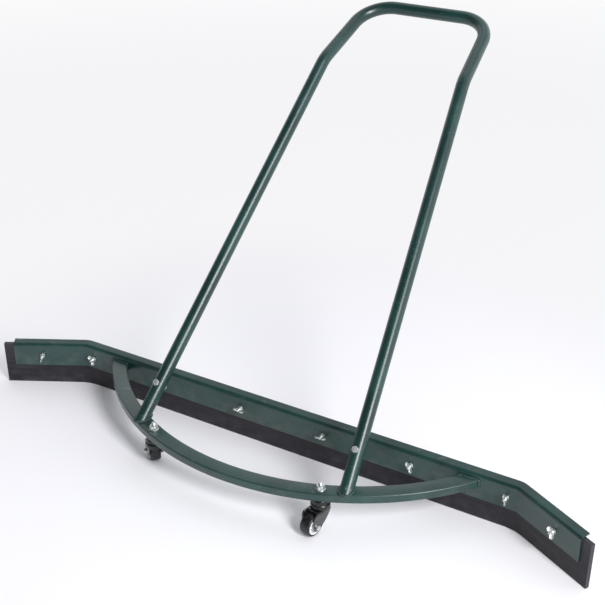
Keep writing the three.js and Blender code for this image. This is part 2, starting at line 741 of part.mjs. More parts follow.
// Fork in its own axes: x along the trail, y along the axle. A folded strip is cut to the cheeks' outline.
function makeFork() {
  const inner = hubWidth / 2 + wheelSideClearance;
  const outer = inner + forkWall;
  const innerFold = forkFoldRadius - forkWall;
  const topRadius = forkTopDiameter / 2;
  const toe = wheelRadius - forkToeRadius;

  const folded = new THREE.Shape();
  folded.moveTo(-outer, toe - cutOverrun);
  folded.lineTo(-outer, forkTop - forkFoldRadius);
  folded.absarc(-outer + forkFoldRadius, forkTop - forkFoldRadius, forkFoldRadius, Math.PI, Math.PI / 2, true);
  folded.absarc(outer - forkFoldRadius, forkTop - forkFoldRadius, forkFoldRadius, Math.PI / 2, 0, true);
  folded.lineTo(outer, toe - cutOverrun);
  folded.lineTo(inner, toe - cutOverrun);
  folded.absarc(inner - innerFold, forkTop - forkFoldRadius, innerFold, 0, Math.PI / 2);
  folded.absarc(-inner + innerFold, forkTop - forkFoldRadius, innerFold, Math.PI / 2, Math.PI);
  folded.lineTo(-inner, toe - cutOverrun);
  const front = casterTrail + forkToeRadius;
  const ends = [-forkRear, front];
  const strip = loft(folded, ends.length, (station, point) => new THREE.Vector3(ends[station], point.x, point.y));

  const brow = forkTop - forkBrowRadius;
  const toeStart = forkToeRadius * Math.SQRT1_2;
  const cheek = new THREE.Shape();
  cheek.moveTo(-forkRear, forkTop);
  cheek.lineTo(-forkRear, forkTop - forkShoulderDrop);
  cheek.quadraticCurveTo(-forkRear / 4, (forkTop + toe) / 2 - forkToeRadius / 2,
    casterTrail - toeStart, wheelRadius - toeStart);
  cheek.absarc(casterTrail, wheelRadius, forkToeRadius, 1.25 * Math.PI, 2 * Math.PI);
  cheek.absarc(front - forkBrowRadius, brow, forkBrowRadius, 0, Math.PI / 2);
  const cheeks = new THREE.ExtrudeGeometry(cheek,
    { depth: 2 * (outer + cutOverrun), bevelEnabled: false, curveSegments: 4 });
  cheeks.rotateX(Math.PI / 2);
  cheeks.translate(0, outer + cutOverrun, 0);

  const body = toGeometry(toSolid(strip).intersect(toSolid(cheeks)));
  const head = rod(new THREE.Vector3(0, 0, forkTop - forkWall), up, forkWall, circle(topRadius, turnedSides));
  const pinHole = rod(new THREE.Vector3(0, 0, forkTop - forkWall - cutOverrun), up, forkWall + 2 * cutOverrun,
    circle(stemDiameter / 2 + boltClearance, turnedSides));
  const axleHole = rod(new THREE.Vector3(casterTrail, -outer - cutOverrun, wheelRadius),
    new THREE.Vector3(0, 1, 0), 2 * (outer + cutOverrun), circle(axleDiameter / 2 + boltClearance, smallSides));
  return cut(join([body, head]), [pinHole, axleHole]);
}

// Turned wheel pieces are made about +Z and then laid on the axle
function makeWheelParts() {
  const cheekOuter = hubWidth / 2 + wheelSideClearance + forkWall;
  const bushRadius = axleDiameter / 2 + seatGap + bushWall;
  const bushHalf = hubWidth / 2 + wheelSideClearance - seatGap;
  const hubBore = bushRadius + runningGap;
  const tyreInner = wheelRadius - tyreDepth;
  const hubRadius = tyreInner - seatGap;
  const rimHalf = tyreWidth / 2;
  const bossHalf = hubWidth / 2;
  const webHalf = hubWebThickness / 2;
  const bossRadius = hubBossDiameter / 2;
  const rimInner = hubRadius - hubRimDepth;
  const shoulderRise = tyreShoulder / 3;
  const mirror = (profile) => profile.map(([radius, height]) => [radius, -height]).reverse();

  const hubHalf = [[rimInner, webHalf], [rimInner, rimHalf], [hubRadius, rimHalf]];
  const bossSide = [[hubBore, bossHalf], [bossRadius, bossHalf], [bossRadius, webHalf]];
  const tyreSide = [[tyreInner, rimHalf], [wheelRadius - tyreShoulder, rimHalf],
    [wheelRadius - shoulderRise, rimHalf - shoulderRise], [wheelRadius, rimHalf - tyreShoulder]];
  const bolt = hexBolt(axleDiameter, axleHeadWidth, axleHeadHeight,
    2 * (cheekOuter + seatGap) + axleNutHeight + axleSpare);
  bolt.translate(0, 0, cheekOuter + seatGap);
  const nut = hexagon(axleHeadWidth, axleNutHeight, axleDiameter + 2 * seatGap);
  nut.translate(0, 0, -cheekOuter - seatGap - axleNutHeight);
  return {
    hub: [turned([...mirror([...bossSide, ...hubHalf]), ...bossSide, ...hubHalf], turnedSides), finishes.whiteNylon],
    tyre: [turned([...tyreSide, ...mirror(tyreSide)], wheelSides), finishes.tread],
    bush: [turned([[axleDiameter / 2 + seatGap, -bushHalf], [bushRadius, -bushHalf], [bushRadius, bushHalf],
      [axleDiameter / 2 + seatGap, bushHalf]], smallSides), finishes.bareSteel],
    axle: [bolt, finishes.zinc],
    axle_nut: [nut, finishes.zinc],
  };
}

function makeCasters() {
  const fork = makeFork();
  const wheelParts = makeWheelParts();
  for (const [name, place] of Object.entries(casterPlaces)) {
    makeSwivelHead(name, place);
    const turnAndPlace = (geometry) => geometry.clone().rotateZ(casterHeadings[name]).translate(place.x, place.y, 0);
    piece(`caster_fork_${name}`, turnAndPlace(fork), finishes.blackSteel);
    for (const [part, [geometry, finish]] of Object.entries(wheelParts)) {
      const laid = geometry.clone().rotateX(-Math.PI / 2).translate(casterTrail, 0, wheelRadius);
      piece(`caster_${part}_${name}`, turnAndPlace(laid), finish);
    }
  }
}

makeHolder();
makeBlade();
makeStrips();
makeBladeFasteners();
makeBow();
makeStubs();
makeHandle();
makeHandleFasteners();
makeCasters();

export default squeegee;
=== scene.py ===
# Court squeegee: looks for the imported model, made in the order in which the real one is put together.
# Sizes are in millimetres until a piece is finished; the model and the finished pieces are in metres.
import math

import bmesh
import bpy
from mathutils import Matrix, Vector


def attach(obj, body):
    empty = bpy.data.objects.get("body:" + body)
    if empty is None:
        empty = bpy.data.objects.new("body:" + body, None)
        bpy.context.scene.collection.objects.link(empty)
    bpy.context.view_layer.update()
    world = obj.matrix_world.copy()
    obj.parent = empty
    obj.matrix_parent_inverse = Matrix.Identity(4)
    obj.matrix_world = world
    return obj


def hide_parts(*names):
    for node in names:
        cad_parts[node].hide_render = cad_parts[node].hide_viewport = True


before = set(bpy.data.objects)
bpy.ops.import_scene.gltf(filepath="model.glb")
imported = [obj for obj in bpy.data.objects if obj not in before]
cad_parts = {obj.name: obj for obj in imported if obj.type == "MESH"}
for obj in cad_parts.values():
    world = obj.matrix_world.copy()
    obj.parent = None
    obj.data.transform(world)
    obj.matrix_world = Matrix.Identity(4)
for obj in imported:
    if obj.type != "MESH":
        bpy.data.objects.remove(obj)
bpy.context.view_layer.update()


# Blade holder: one length of 3 mm steel plate, folded to the back along its top and bent forwards into a
# wing at each end. It is pressed, then painted dark green, and the paint has chipped along its edges.
METRE = 1000.0
holder_straight = 1124.0
wing_length = 182.0
wing_angle = math.radians(28)
holder_bend = 30.0
plate = 3.0
holder_bottom = 51.0
holder_top = 113.0
holder_face = -8.3
fold_depth = 22.0
fold_slope = math.radians(8)
fold_radius = 9.0
fold_steps = 8
bend_steps = 10
edge_margin = 2.0
full_wear = math.radians(45)
smooth_limit = math.radians(38)


class Shade:
    """One output of a node. Arithmetic on it adds the Math nodes that work it out."""

    def __init__(self, tree, socket):
        self.tree = tree
        self.socket = socket

    def math(self, operation, *values):
        return self.tree.add("ShaderNodeMath", {"operation": operation}, dict(enumerate(values)))

    def __add__(self, other):
        return self.math("ADD", self, other)

    __radd__ = __add__

    def __mul__(self, other):
        return self.math("MULTIPLY", self, other)

    __rmul__ = __mul__

    def __sub__(self, other):
        return self.math("SUBTRACT", self, other)

    def __rsub__(self, other):
        return self.math("SUBTRACT", other, self)

    def __truediv__(self, other):
        return self.math("DIVIDE", self, other)

    def of(self, function):
        """A function of this value alone, such as its sine."""
        return self.math(function, self)

    def rise(self, low, high):
        """0 below low, 1 above high and smooth between them."""
        return self.tree.add("ShaderNodeMapRange", {"interpolation_type": "SMOOTHSTEP"},
                             {"Value": self, "From Min": low, "From Max": high})


class Tree:
    """Nodes of one material or of one Geometry Nodes recipe."""

    def __init__(self, tree):
        self.tree = tree

    def add(self, kind, settings=None, sockets=None, out=0):
        """Adds a node: its settings first, then the value or link of each socket."""
        node = self.tree.nodes.new(kind)
        for name, value in (settings or {}).items():
            setattr(node, name, value)
        for key, value in (sockets or {}).items():
            if isinstance(value, Shade):
                self.tree.links.new(value.socket, node.inputs[key])
            else:
                node.inputs[key].default_value = value
        return Shade(self, node.outputs[out]) if len(node.outputs) else None

    def axis(self, place, name):
        """One coordinate of a place."""
        return self.add("ShaderNodeSeparateXYZ", None, {0: place}, out=name)

    def ray(self, kind):
        """1 for rays of this kind and 0 for the others."""
        return self.add("ShaderNodeLightPath", out=f"Is {kind} Ray")


class Finish(Tree):
    """One surface finish. Its patterns lie on the object's own coordinates, in metres."""

    def __init__(self, name):
        self.material = bpy.data.materials.new(name)
        self.material.use_nodes = True
        super().__init__(self.material.node_tree)
        self.tree.nodes.clear()
        self.place = self.add("ShaderNodeTexCoord", out="Object")

    def cloud(self, grain, detail=3.0, stretch=(1, 1, 1)):
        """Noise from 0 to 1 with patches about one grain across, longer along a stretched axis."""
        scale = [1 / (grain * share) for share in stretch]
        spot = self.add("ShaderNodeMapping", None, {"Vector": self.place, "Scale": scale})
        return self.add("ShaderNodeTexNoise", None, {"Vector": spot, "Scale": 1.0, "Detail": detail})

    def height(self):
        return self.axis(self.place, "Z")

    def edge_wear(self):
        return self.add("ShaderNodeAttribute", {"attribute_name": "wear"}, out="Fac")

    def layered(self, ground, *layers):
        """A ground colour under (strength, colour) layers, each laid over all that is below it."""
        for strength, over in layers:
            ground = self.add("ShaderNodeMix", {"data_type": "RGBA"}, {0: strength, 6: ground, 7: over},
                              out=2)
        return ground

    def surface(self, body, sockets, relief, depth):
        """Closes the finish: its shader in the body colour, over a relief that is depth metres high."""
        bump = self.add("ShaderNodeBump", None, {"Height": relief, "Distance": depth, "Strength": 1.0})
        shader = self.add("ShaderNodeBsdfPrincipled", None, {"Base Color": body, **sockets, "Normal": bump})
        self.add("ShaderNodeOutputMaterial", None, {"Surface": shader})
        return self.material


def colour(red, green, blue):
    """A colour in picture values, made linear."""
    return tuple(((part / 255 + 0.055) / 1.055) ** 2.4 for part in (red, green, blue)) + (1.0,)


def paint_finish():
    """Green enamel: cloudy, finely scratched, dusty near the court and chipped to grey steel at its edges."""
    finish = Finish("green_enamel")
    patches = finish.cloud(0.10)
    dimples = finish.cloud(0.004, detail=1.0)
    scratches = finish.cloud(0.0016, stretch=(18, 18, 1)).rise(0.66, 0.72)
    chips = (finish.edge_wear() * 0.42 + finish.cloud(0.016) * 0.6
             + finish.cloud(0.003) * 0.3).rise(0.86, 0.89)
    dust = (1 - finish.height().rise(0.01, 0.13)) * finish.cloud(0.028).rise(0.38, 0.72)
    body = finish.layered(
        colour(14, 46, 44), (patches.rise(0.3, 0.7), colour(23, 61, 58)),
        (scratches * 0.16, colour(150, 172, 166)), (dust * 0.30, colour(126, 128, 120)),
        (chips, colour(118, 122, 122)))
    return finish.surface(
        body, {"Metallic": chips * 0.8, "Roughness": 0.27 + patches * 0.16 + dust * 0.25 + chips * 0.12,
               "Coat Weight": (1 - chips) * (0.32 - dust * 0.24), "Coat Roughness": 0.3},
        relief=dimples * 0.015 + patches * 0.3 - chips, depth=0.00014)


green_paint = paint_finish()


def put(name, data):
    """Puts a mesh, a lamp or a camera into the scene as an object."""
    thing = bpy.data.objects.new(name, data)
    bpy.context.scene.collection.objects.link(thing)
    return thing


def close_mesh(shape, mesh):
    """Writes a shape to its mesh, smooth but for its edges, with a wear value at each corner."""
    wear = shape.verts.layers.float.new("wear")
    for corner in shape.verts:
        turn = max((edge.calc_face_angle(0.0) for edge in corner.link_edges), default=0.0)
        corner[wear] = min(turn / full_wear, 1.0)
    shape.to_mesh(mesh)
    shape.free()
    mesh.shade_smooth()
    mesh.set_sharp_from_angle(angle=smooth_limit)


class Blank:
    """Corners and faces of a piece while it is made, in millimetres."""

    def __init__(self):
        self.points = []
        self.faces = []

    def skin(self, rows, ring=False):
        """Covers closed rows of points. The rows themselves close in a ring, or get a lid at each end."""
        first, size, count = len(self.points), len(rows[0]), len(rows)
        for row in rows:
            self.points += [Vector(point) for point in row]
        for row in range(count if ring else count - 1):
            here, there = first + row * size, first + (row + 1) % count * size
            for spot in range(size):
                beside = (spot + 1) % size
                self.faces.append([here + spot, here + beside, there + beside, there + spot])
        if not ring:
            last = first + (count - 1) * size
            self.faces.append(list(range(first, first + size)))
            self.faces.append(list(range(last, last + size)))
        return self

    def turned(self, profile, sides, ring=False):
        """Turns (radius, height) pairs about the upright axis."""
        rows = []
        for radius, height in profile:
            angles = [2 * math.pi * side / sides for side in range(sides)]
            rows.append([(radius * math.cos(angle), radius * math.sin(angle), height) for angle in angles])
        return self.skin(rows, ring)

    def moved(self, matrix):
        self.points = [matrix @ point for point in self.points]
        return self

    def take(self, other, matrix=Matrix.Identity(4)):
        """Takes in another blank, moved by a matrix."""
        first = len(self.points)
        self.points += [matrix @ point for point in other.points]
        self.faces += [[first + corner for corner in face] for face in other.faces]
        return self

    def piece(self, name, material, soften=0.0, sharp=30, steps=2):
        """Makes the finished piece, in metres, and softens the edges that turn by more than sharp degrees."""
        mesh = bpy.data.meshes.new(name)
        mesh.from_pydata([point / METRE for point in self.points], [], self.faces)
        mesh.materials.append(material)
        shape = bmesh.new()
        shape.from_mesh(mesh)
        bmesh.ops.remove_doubles(shape, verts=shape.verts, dist=1e-6)
        bmesh.ops.dissolve_degenerate(shape, edges=shape.edges, dist=1e-7)
        bmesh.ops.recalc_face_normals(shape, faces=shape.faces)
        if soften:
            edges = [edge for edge in shape.edges if edge.calc_face_angle(0.0) > math.radians(sharp)]
            bmesh.ops.bevel(shape, geom=edges, offset=soften / METRE, segments=steps, profile=0.5,
                            affect="EDGES", clamp_overlap=True)
        close_mesh(shape, mesh)
        return put(name, mesh)


def settle(piece, body, slot, *nodes):
    """A finished piece moves with its body and stands for its nodes, which it hides. Its slot is not used."""
    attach(piece, body)
    if nodes:
        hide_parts(*nodes)


def blade_line(end_reach, radius):
    """Stations (point, heading) along the blade in plan, with the two bends rounded."""
    corner = Vector((holder_straight / 2, 0, 0))
    end = corner + Vector((math.cos(wing_angle), -math.sin(wing_angle), 0)) * end_reach
    line = [Vector((-end.x, end.y, 0)), Vector((-corner.x, 0, 0)), corner, end]
    stations = []
    for before, here, after in zip(line, line[1:], line[2:]):
        inward, onward = (here - before).normalized(), (after - here).normalized()
        axis = inward.cross(onward).normalized()
        start = here - inward * radius * math.tan(wing_angle / 2)
        centre = start + axis.cross(inward) * radius
        for step in range(bend_steps + 1):
            turn = Matrix.Rotation(wing_angle * step / bend_steps, 3, axis)
            stations.append((centre + turn @ (start - centre), turn @ inward))
    first, last = stations[0][1], stations[-1][1]
    return [(line[0], first), (line[0] + first * edge_margin, first), *stations,
            (line[-1] - last * edge_margin, last), (line[-1], last)]


def on_blade(station, depth, height):
    """The point at a depth behind the rubber's middle and at a height, at a station of a blade line."""
    point, heading = station
    return Vector((point.x - heading.y * depth, point.y + heading.x * depth, height))


def edged(corners):
    """Adds a point near each end of every long side, so that wear stays at the corners."""
    points = []
    for here, after in zip(corners, corners[1:] + corners[:1]):
        here, after = Vector(here), Vector(after)
        points.append(here)
        side = after - here
        if side.length > 4 * edge_margin:
            step = side.normalized() * edge_margin
            points += [here + step, after - step]
    return points


def arc(centre, radius, first, last, steps):
    """Points of an arc between two angles in degrees."""
    angles = [math.radians(first + (last - first) * step / steps) for step in range(steps + 1)]
    return [(centre[0] + radius * math.cos(angle), centre[1] + radius * math.sin(angle)) for angle in angles]


fold_turn = 90 + math.degrees(fold_slope)
flange_run = fold_depth - fold_radius * (1 - math.sin(fold_slope))
fold_drop = flange_run * math.tan(fold_slope)
fold_centre = (holder_face + fold_radius, holder_top - fold_drop - fold_radius * math.cos(fold_slope))
back_edge = holder_face + fold_depth
holder_section = edged([
    (holder_face, holder_bottom), *arc(fold_centre, fold_radius, 180, fold_turn, fold_steps),
    (back_edge, holder_top), (back_edge, holder_top - plate),
    *arc(fold_centre, fold_radius - plate, fold_turn, 180, fold_steps), (holder_face + plate, holder_bottom)])
holder = Blank().skin([[on_blade(station, *point) for point in holder_section]
                       for station in blade_line(wing_length, holder_bend)])
settle(holder.piece("holder_plate", green_paint, soften=0.45, sharp=60), "frame", "green_paint",
       "blade_holder")


# Rubber blade: one thick strip of grey-black rubber clamped behind the holder, longer than it at both ends.
# It is cut from sheet; its lower lip is free, bends more gently than the plate and is scuffed by the court.
blade_thickness = 10.0
blade_overhang = 24.0
blade_top = 107.7
lip_bend = 110.0
lip_rounding = 1.2
blade_rows = 8


def rubber_finish():
    """Grey-black sheet: dusty and drawn with fine upright marks where the court drags at it."""
    finish = Finish("sheet_rubber")
    patches = finish.cloud(0.07)
    grain = finish.cloud(0.0011, detail=2.0)
    drag = finish.cloud(0.012, stretch=(9, 9, 0.7)).rise(0.5, 0.72)
    low = 1 - finish.height().rise(0.004, 0.05)
    dust = (low * 0.8 + 0.15) * finish.cloud(0.022).rise(0.35, 0.7)
    body = finish.layered(
        colour(20, 19, 26), (patches.rise(0.3, 0.7), colour(28, 27, 35)), (drag * 0.12, colour(84, 83, 92)),
        (dust * 0.16, colour(112, 108, 112)), (finish.edge_wear() * 0.2, colour(92, 91, 98)))
    return finish.surface(
        body, {"Specular IOR Level": 0.35, "Roughness": 0.4 + patches * 0.16 + dust * 0.15},
        relief=grain * 0.6 + drag * 0.4, depth=0.00012)


rubber_half = blade_thickness / 2
climb = [holder_bottom * row / blade_rows for row in range(1, blade_rows + 1)]
front_side = [(-rubber_half, height) for height in (lip_rounding, *climb, blade_top)]
back_side = [(rubber_half, height) for height in (blade_top, *reversed(climb), lip_rounding)]
lip = [(rubber_half - lip_rounding, 0.0), (-rubber_half + lip_rounding, 0.0)]
blade_section = [*front_side, *back_side, *lip]
held_line = blade_line(wing_length + blade_overhang, holder_bend)
lip_line = blade_line(wing_length + blade_overhang, lip_bend)
blade = Blank().skin([
    [on_blade(free, *point).lerp(on_blade(held, *point), min(point[1] / holder_bottom, 1.0))
     for point in blade_section] for held, free in zip(held_line, lip_line)])
settle(blade.piece("rubber_strip", rubber_finish(), soften=0.3, sharp=60, steps=1), "frame",
       "black_rubber", "rubber_blade")


# Clamp strips: flat bars behind the rubber, one for the straight part and one for each wing. They are cut
# from zinc-plated steel that has gone dull, and keep the shape of the model.
def zinc_finish(name, bright, dull, gloss):
    """Zinc plate: slightly clouded, with grime where it is never rubbed."""
    finish = Finish(name)
    patches = finish.cloud(0.008)
    crystals = finish.cloud(0.0012, detail=2.0)
    grime = finish.cloud(0.004).rise(0.56, 0.74)
    body = finish.layered(dull, (patches.rise(0.35, 0.65), bright), (grime * 0.35, colour(122, 120, 112)))
    return finish.surface(
        body, {"Metallic": 0.92 - grime * 0.3, "Roughness": gloss + patches * 0.14 + grime * 0.3},
        relief=crystals * 0.5 - grime * 0.5, depth=0.00008)


zinc_strip = zinc_finish("zinc_strip", colour(184, 188, 189), colour(160, 165, 168), 0.36)


def give_finish(material, *nodes):
    """Covers nodes of the model whose shape is right as it is."""
    for node in nodes:
        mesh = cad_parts[node].data
        mesh.materials.clear()
        mesh.materials.append(material)


give_finish(zinc_strip, "clamp_strip_main", "clamp_strip_left", "clamp_strip_right")


# Blade bolts and wing nuts: eight M6 hexagon bolts go through strip, rubber and holder from behind, and a
# zinc-plated wing nut on its washer closes each one in front. Every nut stopped at its own angle.
blade_bolt_pitch = 215.0
straight_bolts = 6
wing_bolt_reach = 112.0
bolt_height = holder_bottom + 27.0
strip_back = 8.3
gap = 0.3
nut_angles = [-78, -58, -35, -8, 3, -58, -77, -85]
nut_washer = (12.5, 1.6)
nut_seat = holder_face - gap - nut_washer[1]
nut_foot, nut_neck, nut_tall = 11.0, 9.5, 7.5
nut_skirt = (0.2, 2.2)
nut_rounding = 0.8
nut_span = 27.0
nut_height = 14.0
nut_wing = 2.6
nut_wing_foot, nut_wing_taper = 1.35, 0.5
nut_wing_layers = ((-0.5, 0.84), (-0.32, 1.0), (0.32, 1.0), (0.5, 0.84))
m6 = 6.0
m6_pitch = 1.0
m6_head = (10.0, 4.0)
bolt_spare = 5.0
thread_slack = 0.1
thread_room = 0.6
thread_depth = 0.55
thread_rows = 4
round_sides = 24
hex_spokes = 48
hex_chamfer = 0.12
hex_crown = 0.96
zinc_plate = zinc_finish("zinc_plate", colour(228, 233, 231), colour(196, 203, 202), 0.35)


class Recipe(Tree):
    """A Geometry Nodes tree with named inputs, which ends in a real mesh in one finish."""

    def __init__(self, name, **inputs):
        super().__init__(bpy.data.node_groups.new(name, "GeometryNodeTree"))
        face = self.tree.interface
        face.new_socket("Start", in_out="INPUT", socket_type="NodeSocketGeometry")
        for label, kind in {**inputs, "Finish": "Material"}.items():
            face.new_socket(label, in_out="INPUT", socket_type="NodeSocket" + kind)
        face.new_socket("Result", in_out="OUTPUT", socket_type="NodeSocketGeometry")
        self.entry = self.tree.nodes.new("NodeGroupInput")

    def given(self, label):
        return Shade(self, self.entry.outputs[label])

    def close(self, shape):
        real = self.add("GeometryNodeRealizeInstances", None, {0: shape})
        done = self.add("GeometryNodeSetMaterial", None, {"Geometry": real, "Material": self.given("Finish")})
        self.add("NodeGroupOutput", None, {0: done})

    def mesh(self, points, links, fields, **values):
        """Runs the recipe on points and links, with a field of values for each name, and gives the mesh."""
        start = bpy.data.meshes.new(self.tree.name)
        start.from_pydata(points, links, [])
        for name, rows in fields.items():
            kind = "FLOAT" if isinstance(rows[0], float) else "FLOAT_VECTOR"
            field = start.attributes.new(name, kind, "POINT")
            for spot, value in zip(field.data, rows):
                setattr(spot, "value" if kind == "FLOAT" else "vector", value)
        carrier = put(self.tree.name, start)
        modifier = carrier.modifiers.new(self.tree.name, "NODES")
        modifier.node_group = self.tree
        for item in self.tree.interface.items_tree:
            if item.in_out == "INPUT" and item.name in values:
                modifier[item.identifier] = values[item.name]
        seen = bpy.context.evaluated_depsgraph_get()
        result = bpy.data.meshes.new_from_object(carrier.evaluated_get(seen))
        bpy.data.objects.remove(carrier)
        return result


def from_mesh(name, mesh, scale=1.0):
    """A finished piece from a recipe's mesh, with the scale that brings it to metres."""
    mesh.transform(Matrix.Scale(scale, 4))
    mesh.name = name
    return put(name, mesh)


up = Vector((0, 0, 1))
copies = Recipe("copies_at_places", Pattern="Object")
pattern = copies.add("GeometryNodeObjectInfo", None, {"Object": copies.given("Pattern"), "As Instance": True},
                     out="Geometry")
turn = copies.add("GeometryNodeInputNamedAttribute", {"data_type": "FLOAT_VECTOR"}, {"Name": "turn"})
copies.close(copies.add("GeometryNodeInstanceOnPoints", None,
                        {"Points": copies.given("Start"), "Instance": pattern, "Rotation": turn}))


def copied(name, pattern_piece, places):
    """One zinc piece from copies of a pattern that stands on z = 0, at (point, direction, turn) places."""
    points = [point / METRE for point, _, _ in places]
    turns = [(up.rotation_difference(direction).to_matrix() @ Matrix.Rotation(angle, 3, "Z")).to_euler()
             for _, direction, angle in places]
    mesh = copies.mesh(points, [], {"turn": [tuple(turn) for turn in turns]}, Pattern=pattern_piece,
                       Finish=zinc_plate)
    bpy.data.objects.remove(pattern_piece)
    return from_mesh(name, mesh)


def hexagon(width, low, high, bore=0.0):
    """Hexagon of a width across its flats, its corners turned down at the top, with a bore if it is a nut."""
    flat, side = width / 2, math.pi / 3
    spokes = [2 * math.pi * spoke / hex_spokes for spoke in range(hex_spokes)]
    rows = []
    for height, limit in ((low, width), (high - hex_chamfer * width, width), (high, flat * hex_crown)):
        reaches = [min(flat / math.cos((angle + side / 2) % side - side / 2), limit) for angle in spokes]
        rows.append([(reach * math.cos(angle), reach * math.sin(angle), height)
                     for reach, angle in zip(reaches, spokes)])
    if bore:
        rows += [[(bore / 2 * math.cos(angle), bore / 2 * math.sin(angle), height) for angle in spokes]
                 for height in (high, low)]
    return Blank().skin(rows, ring=bool(bore))


def threaded(diameter, low, high, pitch):
    """Threaded rod: a ridge that winds round a core, with a chamfer at its end."""
    radius = (diameter - thread_slack) / 2
    depth = thread_depth * pitch
    count = int((high - low) / pitch * thread_rows)
    rows = []
    for row in range(count + 1):
        height = low + (high - low) * row / count
        ring = []
        for side in range(round_sides):
            way = side / round_sides
            phase = ((height - low) / pitch - way) % 1.0
            ridge = radius - depth + abs(2 * phase - 1) * depth
            reach = min(ridge, radius - pitch + (high - height))
            ring.append((reach * math.cos(2 * math.pi * way), reach * math.sin(2 * math.pi * way), height))
        rows.append(ring)
    return Blank().skin(rows)


upside_down = Matrix.Rotation(math.pi, 4, "X")


def hex_bolt(head, diameter, length, pitch):
    """Hexagon bolt: its head, of a width and a height, stands on z = 0 and its rod goes down."""
    return hexagon(head[0], 0.0, head[1]).take(threaded(diameter, 0.0, length, pitch), upside_down)


def disc(bore, radius, low, high, under, over, sides):
    """Flat ring whose rim has a chamfer under it and one over it."""
    return Blank().turned([(bore, low), (radius - under, low), (radius, low + under), (radius, high - over),
                           (radius - over, high), (bore, high)], sides, ring=True)


def wing():
    """One wing of a wing nut: a rounded lobe that leans out, thicker at its foot and smaller on its faces."""
    foot = nut_neck / 2 - nut_wing
    lobe = (nut_span / 2 - foot) / 2
    middle = nut_span / 2 - lobe, nut_height - lobe
    outline = [(foot, nut_rounding), (middle[0], nut_tall / 3), *arc(middle, lobe, -50, 172, steps=14),
               (foot, nut_tall)]
    rows = []
    for offset, swell in nut_wing_layers:
        row = []
        for point in outline:
            spot = Vector(middle) + (Vector(point) - Vector(middle)) * swell
            thick = nut_wing * (nut_wing_foot - nut_wing_taper * min(spot.y / nut_height, 1.0))
            row.append((spot.x, offset * thick, spot.y))
        rows.append(row)
    return Blank().skin(rows)


nut_bore = (m6 + thread_room) / 2
nut_body = Blank().turned([
    (nut_bore, 0), (nut_foot / 2, 0), (nut_foot / 2 - nut_skirt[0], nut_skirt[1]),
    (nut_neck / 2, nut_tall - nut_rounding), (nut_neck / 2 - nut_rounding, nut_tall), (nut_bore, nut_tall)],
    round_sides, ring=True)
for angle in (0.0, math.pi):
    nut_body.take(wing(), Matrix.Rotation(angle, 4, "Z"))
nut = disc(nut_bore, nut_washer[0] / 2, 0.0, nut_washer[1], under=0.3, over=0.3, sides=round_sides)
nut.take(nut_body, Matrix.Translation((0, 0, nut_washer[1])))

head_seat = strip_back + gap
bolt = hex_bolt(m6_head, m6, head_seat - nut_seat + nut_tall + bolt_spare, m6_pitch)

ahead = Vector((1, 0, 0))
straight_part = [(ahead * (spot - (straight_bolts - 1) / 2) * blade_bolt_pitch, ahead)
                 for spot in range(straight_bolts)]
wing_stations = []
for side in (-1, 1):
    heading = Vector((math.cos(wing_angle), -side * math.sin(wing_angle), 0))
    corner = Vector((side * holder_straight / 2, 0, 0))
    wing_stations.append((corner + heading * side * wing_bolt_reach, heading))
bolt_stations = [wing_stations[0], *straight_part, wing_stations[1]]
nut_places = []
bolt_places = []
for station, angle in zip(bolt_stations, nut_angles):
    back = on_blade(station, 1, 0) - on_blade(station, 0, 0)
    nut_places.append((on_blade(station, nut_seat + nut_washer[1], bolt_height), -back, math.radians(angle)))
    bolt_places.append((on_blade(station, head_seat, bolt_height), back, 0.0))
patterns = {"wing_nut": (nut.piece("wing_nut_pattern", zinc_plate, soften=0.25, sharp=50), nut_places),
            "blade_bolt": (bolt.piece("bolt_pattern", zinc_plate), bolt_places)}
for name, (pattern_piece, places) in patterns.items():
    settle(copied(f"{name}s", pattern_piece, places), "frame", "zinc_plate",
           *[f"{name}_{number}" for number in range(1, len(places) + 1)])


# Bow: a rectangular steel tube rolled to an arc and welded across the front of the holder, in the same
# paint. The weld round each end is a row of overlapping ripples.
bow_reach = 247.6
bow_end_inset = 85.1
bow_width = 35.0
bow_bottom = 78.0
bow_top = 98.0
bow_corner = 3.2
bow_stations = 121
bow_half = bow_width / 2
bow_end = holder_face - gap
bow_depth = bow_reach - gap
bow_end_reach = holder_straight / 2 - bow_end_inset
bow_radius = (bow_end_reach ** 2 + bow_depth ** 2) / (2 * bow_depth) - bow_half
bow_centre = holder_face - bow_reach + bow_radius + bow_half
weld_ripple = 2.1
weld_size = 2.6
weld_sink = 1.2
hands = (("left", -1), ("right", 1))

rolled = Recipe("rolled_bar", Radius="Float", Centre="Float", End="Float", Width="Float", Height="Float",
                Corner="Float", Base="Float", Steps="Int")
section = rolled.add("GeometryNodeCurvePrimitiveQuadrilateral", None,
                     {"Width": rolled.given("Width"), "Height": rolled.given("Height")})
section = rolled.add("GeometryNodeFilletCurve", {"mode": "POLY"},
                     {"Curve": section, "Count": 5, "Radius": rolled.given("Corner")})
track = rolled.add("GeometryNodeCurvePrimitiveLine", None, {"Start": (0, 0, 0), "End": (1, 0, 0)})
track = rolled.add("GeometryNodeResampleCurve", None, {"Curve": track, "Count": rolled.given("Steps")})
bar = rolled.add("GeometryNodeCurveToMesh", None,
                 {"Curve": track, "Profile Curve": section, "Fill Caps": True})
spot = rolled.add("GeometryNodeInputPosition")
way, outwards, rise = (rolled.axis(spot, name) for name in "XYZ")
radius = rolled.given("Radius") + outwards
centre = rolled.given("Centre")
first = ((centre - rolled.given("End")) / radius).of("ARCSINE")
angle = first + (math.pi - 2 * first) * way
bent = rolled.add("ShaderNodeCombineXYZ", None, {
    "X": radius * angle.of("COSINE"), "Y": centre - radius * angle.of("SINE"),
    "Z": rolled.given("Base") + rise})
rolled.close(rolled.add("GeometryNodeSetPosition", None, {"Geometry": bar, "Position": bent}))
